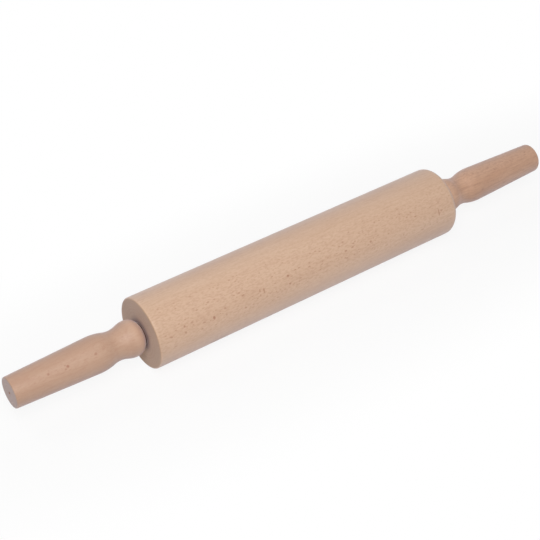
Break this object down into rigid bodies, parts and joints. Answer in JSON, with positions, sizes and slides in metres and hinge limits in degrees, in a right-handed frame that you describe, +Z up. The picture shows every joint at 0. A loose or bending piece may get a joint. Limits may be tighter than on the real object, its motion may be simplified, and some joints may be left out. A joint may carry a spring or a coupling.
{
  "type": "rolling pin",
  "caption": "Wooden rolling pin: a straight beech barrel turns on a steel rod in flanged bushes, between fixed turned handles with a collar, a narrow neck and a tapered grip.",
  "frame": {"origin": "middle of the barrel, on the pin's axis", "axes": "+X along the pin towards the right handle, +Z up, +Y away from the picture's camera"},
  "size_m": [0.438, 0.05, 0.05],
  "materials": {
    "barrel_beech": "fine sanded, unfinished",
    "left_handle_beech": "fine sanded, unfinished",
    "right_handle_beech": "fine sanded, unfinished",
    "rod_steel": "drawn bar",
    "washer_fibre": "pressed red-brown fibre",
    "bush_plastic": "moulded, satin",
    "insert_brass": "turned"
  },
  "bodies": {
    "handles": {"left_handle": "left_handle_beech", "right_handle": "right_handle_beech", "axle_rod": "rod_steel", "left_insert": "insert_brass", "right_insert": "insert_brass", "left_washer": "washer_fibre", "right_washer": "washer_fibre"},
    "barrel": {"barrel": "barrel_beech", "left_bush": "bush_plastic", "right_bush": "bush_plastic"}
  },
  "joints": [
    {"name": "barrel_spin", "type": "hinge", "parent": "handles", "child": "barrel", "pos_m": [0, 0, 0], "axis": [1, 0, 0], "continuous": true}
  ]
}
